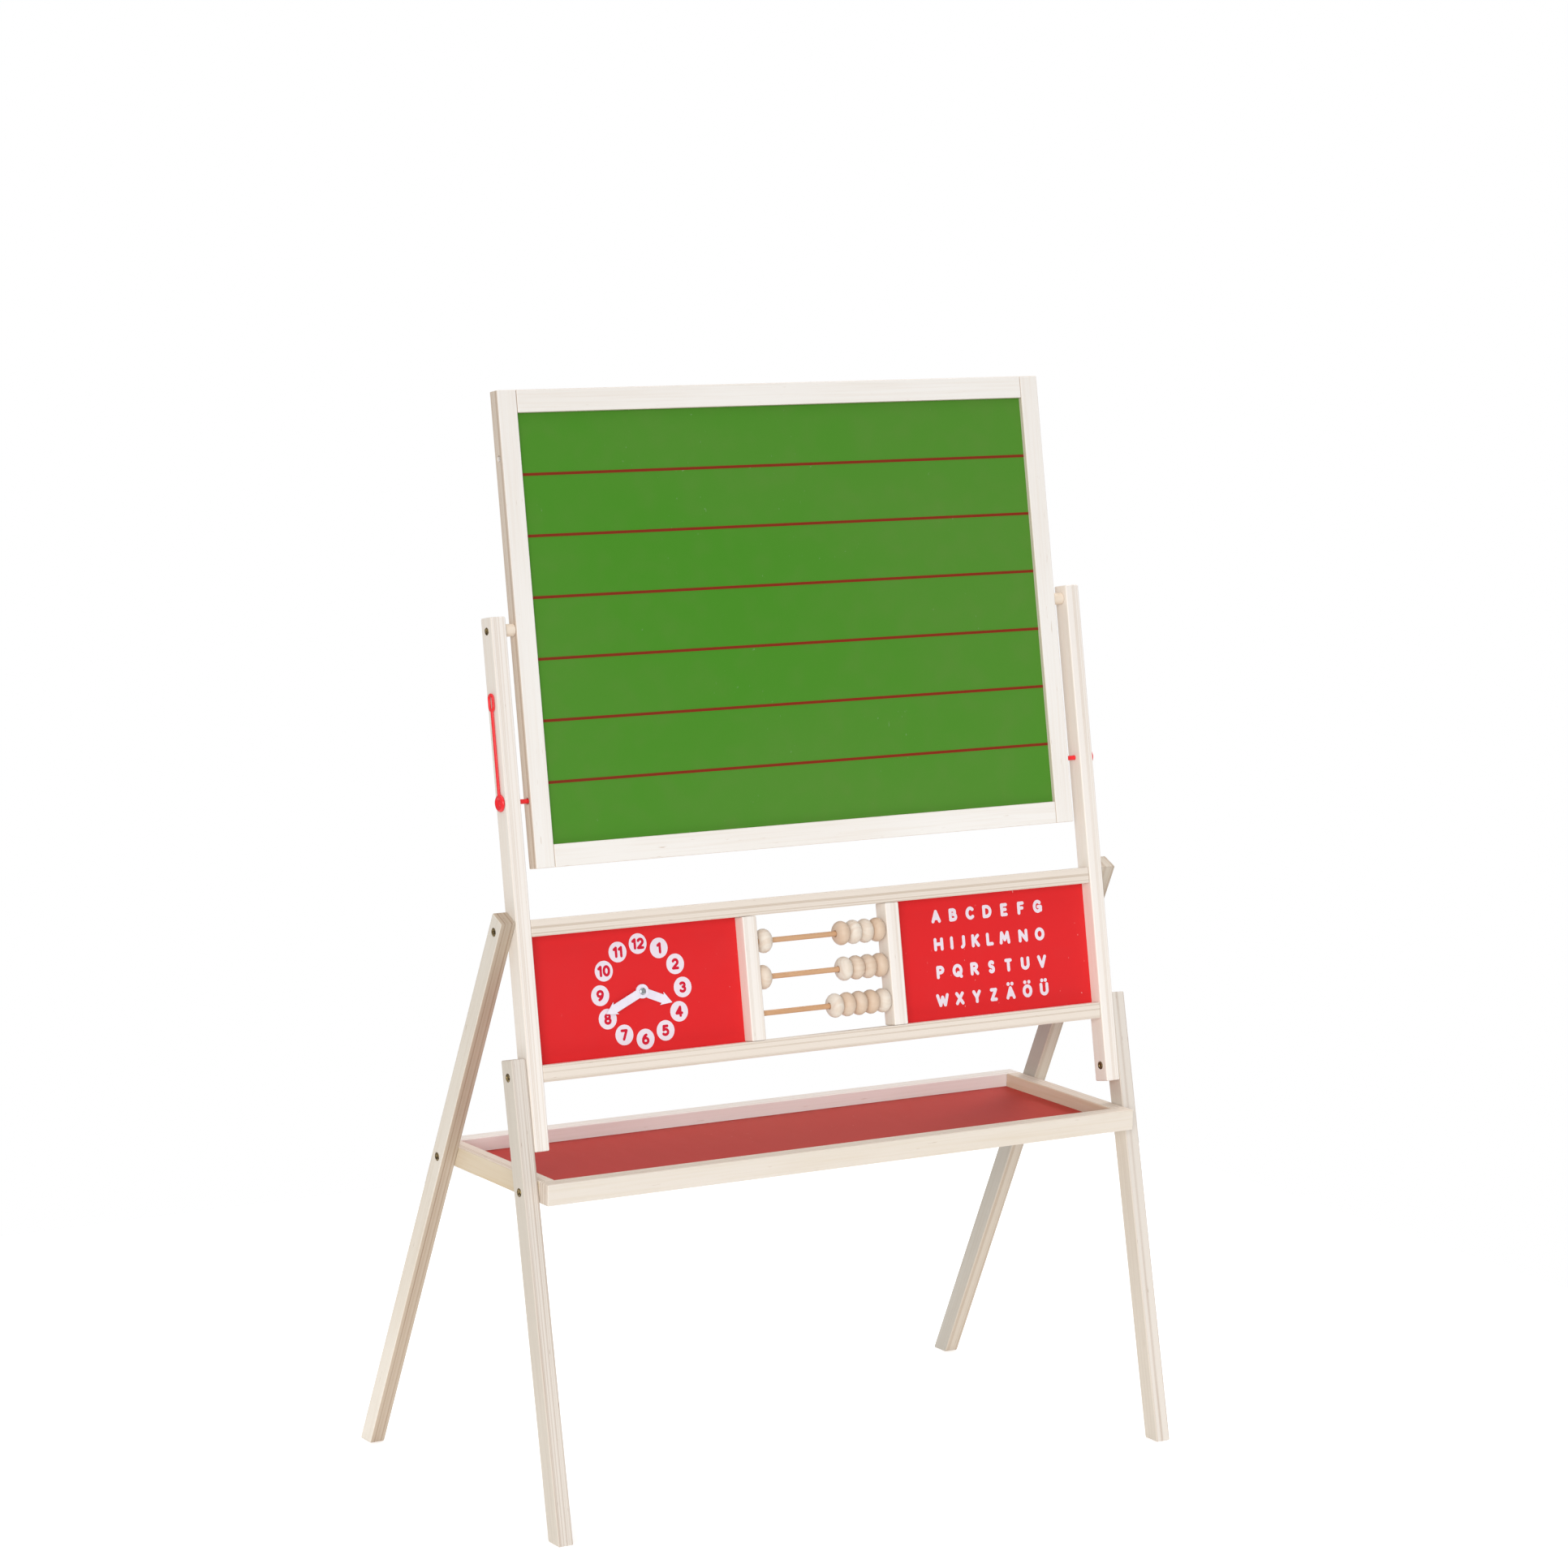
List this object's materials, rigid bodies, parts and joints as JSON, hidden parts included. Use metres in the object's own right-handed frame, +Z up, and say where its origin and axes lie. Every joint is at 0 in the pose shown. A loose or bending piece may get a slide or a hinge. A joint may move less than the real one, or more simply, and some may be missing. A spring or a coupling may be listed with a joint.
{
  "type": "kids easel",
  "caption": "Free-standing easel for children: a reversible chalk and marker board between two uprights, with a clock, a counting frame, an alphabet panel and a tray.",
  "frame": {"origin": "on the floor, at the middle of the footprint", "axes": "+Z up, -Y is the chalkboard side that faces the child, +X to the right seen from that side"},
  "size_m": [0.8308, 0.47, 1.2403],
  "materials": {
    "plywood": "whitewashed plywood, thin plies showing on the cut edges, satin lacquer",
    "board_wood": "plain whitewashed wood, satin lacquer",
    "chalk_green": "matt chalkboard paint on hardboard, with fine brown-red ruled lines",
    "marker_white": "smooth white lacquer on hardboard for dry markers",
    "sign_red": "red lacquered thin board with pale printed letters and number discs",
    "tray_red": "red lacquered thin board",
    "rod_wood": "turned hardwood dowel, unpainted",
    "bead_wood": "turned natural wood, lightly waxed",
    "spacer_wood": "pale turned wood",
    "pin_red": "moulded plastic, smooth",
    "hand_white": "pale sheet plastic",
    "rivet_steel": "bright domed steel",
    "bolt_brass": "dull antique brass plating, hexagon socket"
  },
  "bodies": {
    "frame": {"left_front_leg": "plywood", "left_rear_leg": "plywood", "left_upright": "plywood", "left_divider": "plywood", "left_pivot_spacer": "spacer_wood", "left_pivot_screw": "bolt_brass", "tray_left_rail": "plywood", "left_leg_upper_bolt": "bolt_brass", "left_leg_lower_bolt": "bolt_brass", "left_rear_leg_bolt": "bolt_brass", "left_tray_front_bolt": "bolt_brass", "left_tray_rear_bolt": "bolt_brass", "right_front_leg": "plywood", "right_rear_leg": "plywood", "right_upright": "plywood", "right_divider": "plywood", "right_pivot_spacer": "spacer_wood", "right_pivot_screw": "bolt_brass", "tray_right_rail": "plywood", "right_leg_upper_bolt": "bolt_brass", "right_leg_lower_bolt": "bolt_brass", "right_rear_leg_bolt": "bolt_brass", "right_tray_front_bolt": "bolt_brass", "right_tray_rear_bolt": "bolt_brass", "mid_bottom_rail": "plywood", "mid_top_rail": "plywood", "clock_panel": "sign_red", "alphabet_panel": "sign_red", "clock_rivet": "rivet_steel", "top_rod": "rod_wood", "mid_rod": "rod_wood", "low_rod": "rod_wood", "tray_front_rail": "plywood", "tray_back_rail": "plywood", "tray_floor": "tray_red"},
    "board": {"board_left_stile": "board_wood", "board_right_stile": "board_wood", "board_bottom_rail": "board_wood", "board_top_rail": "board_wood", "chalk_panel": "chalk_green", "marker_panel": "marker_white"},
    "left_lock_pin": {"left_lock_pin": "pin_red"},
    "right_lock_pin": {"right_lock_pin": "pin_red"},
    "hour_hand": {"hour_hand": "hand_white"},
    "minute_hand": {"minute_hand": "hand_white"},
    "top_bead_1": {"top_bead_1": "bead_wood"},
    "top_bead_2": {"top_bead_2": "bead_wood"},
    "top_bead_3": {"top_bead_3": "bead_wood"},
    "top_bead_4": {"top_bead_4": "bead_wood"},
    "top_bead_5": {"top_bead_5": "bead_wood"},
    "mid_bead_1": {"mid_bead_1": "bead_wood"},
    "mid_bead_2": {"mid_bead_2": "bead_wood"},
    "mid_bead_3": {"mid_bead_3": "bead_wood"},
    "mid_bead_4": {"mid_bead_4": "bead_wood"},
    "mid_bead_5": {"mid_bead_5": "bead_wood"},
    "low_bead_1": {"low_bead_1": "bead_wood"},
    "low_bead_2": {"low_bead_2": "bead_wood"},
    "low_bead_3": {"low_bead_3": "bead_wood"},
    "low_bead_4": {"low_bead_4": "bead_wood"},
    "low_bead_5": {"low_bead_5": "bead_wood"}
  },
  "joints": [
    {"name": "board_turn", "type": "hinge", "parent": "frame", "child": "board", "pos_m": [0, -0.02046, 0.9795], "axis": [1, 0, 0], "continuous": true},
    {"name": "left_pin_pull", "type": "slide", "parent": "frame", "child": "left_lock_pin", "axis": [-1, 0, 0], "range_m": [0, 0.03]},
    {"name": "right_pin_pull", "type": "slide", "parent": "frame", "child": "right_lock_pin", "axis": [1, 0, 0], "range_m": [0, 0.03]},
    {"name": "hour_hand_turn", "type": "hinge", "parent": "frame", "child": "hour_hand", "pos_m": [-0.235, -0.09224, 0.57528], "axis": [0, 0.982, -0.1891], "continuous": true},
    {"name": "minute_hand_turn", "type": "hinge", "parent": "frame", "child": "minute_hand", "pos_m": [-0.235, -0.09224, 0.57528], "axis": [0, 0.982, -0.1891], "continuous": true},
    {"name": "top_bead_1_slide", "type": "slide", "parent": "frame", "child": "top_bead_1", "axis": [1, 0, 0], "range_m": [-0.0044, 0.0886]},
    {"name": "top_bead_2_slide", "type": "slide", "parent": "frame", "child": "top_bead_2", "axis": [1, 0, 0], "range_m": [-0.0886, 0]},
    {"name": "top_bead_3_slide", "type": "slide", "parent": "frame", "child": "top_bead_3", "axis": [1, 0, 0], "range_m": [-0.0886, 0]},
    {"name": "top_bead_4_slide", "type": "slide", "parent": "frame", "child": "top_bead_4", "axis": [1, 0, 0], "range_m": [-0.0886, 0]},
    {"name": "top_bead_5_slide", "type": "slide", "parent": "frame", "child": "top_bead_5", "axis": [1, 0, 0], "range_m": [-0.0886, 0]},
    {"name": "mid_bead_1_slide", "type": "slide", "parent": "frame", "child": "mid_bead_1", "axis": [1, 0, 0], "range_m": [0, 0.0931]},
    {"name": "mid_bead_2_slide", "type": "slide", "parent": "frame", "child": "mid_bead_2", "axis": [1, 0, 0], "range_m": [-0.0931, 0]},
    {"name": "mid_bead_3_slide", "type": "slide", "parent": "frame", "child": "mid_bead_3", "axis": [1, 0, 0], "range_m": [-0.0931, 0]},
    {"name": "mid_bead_4_slide", "type": "slide", "parent": "frame", "child": "mid_bead_4", "axis": [1, 0, 0], "range_m": [-0.0931, 0]},
    {"name": "mid_bead_5_slide", "type": "slide", "parent": "frame", "child": "mid_bead_5", "axis": [1, 0, 0], "range_m": [-0.0931, 0]},
    {"name": "low_bead_1_slide", "type": "slide", "parent": "frame", "child": "low_bead_1", "axis": [1, 0, 0], "range_m": [-0.0931, 0]},
    {"name": "low_bead_2_slide", "type": "slide", "parent": "frame", "child": "low_bead_2", "axis": [1, 0, 0], "range_m": [-0.0931, 0]},
    {"name": "low_bead_3_slide", "type": "slide", "parent": "frame", "child": "low_bead_3", "axis": [1, 0, 0], "range_m": [-0.0931, 0]},
    {"name": "low_bead_4_slide", "type": "slide", "parent": "frame", "child": "low_bead_4", "axis": [1, 0, 0], "range_m": [-0.0931, 0]},
    {"name": "low_bead_5_slide", "type": "slide", "parent": "frame", "child": "low_bead_5", "axis": [1, 0, 0], "range_m": [-0.0931, 0]}
  ],
  "couplings": [
    {"joint": "top_bead_2_slide", "follows": "top_bead_5_slide", "ratio": 1},
    {"joint": "top_bead_3_slide", "follows": "top_bead_5_slide", "ratio": 1},
    {"joint": "top_bead_4_slide", "follows": "top_bead_5_slide", "ratio": 1},
    {"joint": "mid_bead_2_slide", "follows": "mid_bead_5_slide", "ratio": 1},
    {"joint": "mid_bead_3_slide", "follows": "mid_bead_5_slide", "ratio": 1},
    {"joint": "mid_bead_4_slide", "follows": "mid_bead_5_slide", "ratio": 1},
    {"joint": "low_bead_1_slide", "follows": "low_bead_5_slide", "ratio": 1},
    {"joint": "low_bead_2_slide", "follows": "low_bead_5_slide", "ratio": 1},
    {"joint": "low_bead_3_slide", "follows": "low_bead_5_slide", "ratio": 1},
    {"joint": "low_bead_4_slide", "follows": "low_bead_5_slide", "ratio": 1}
  ]
}
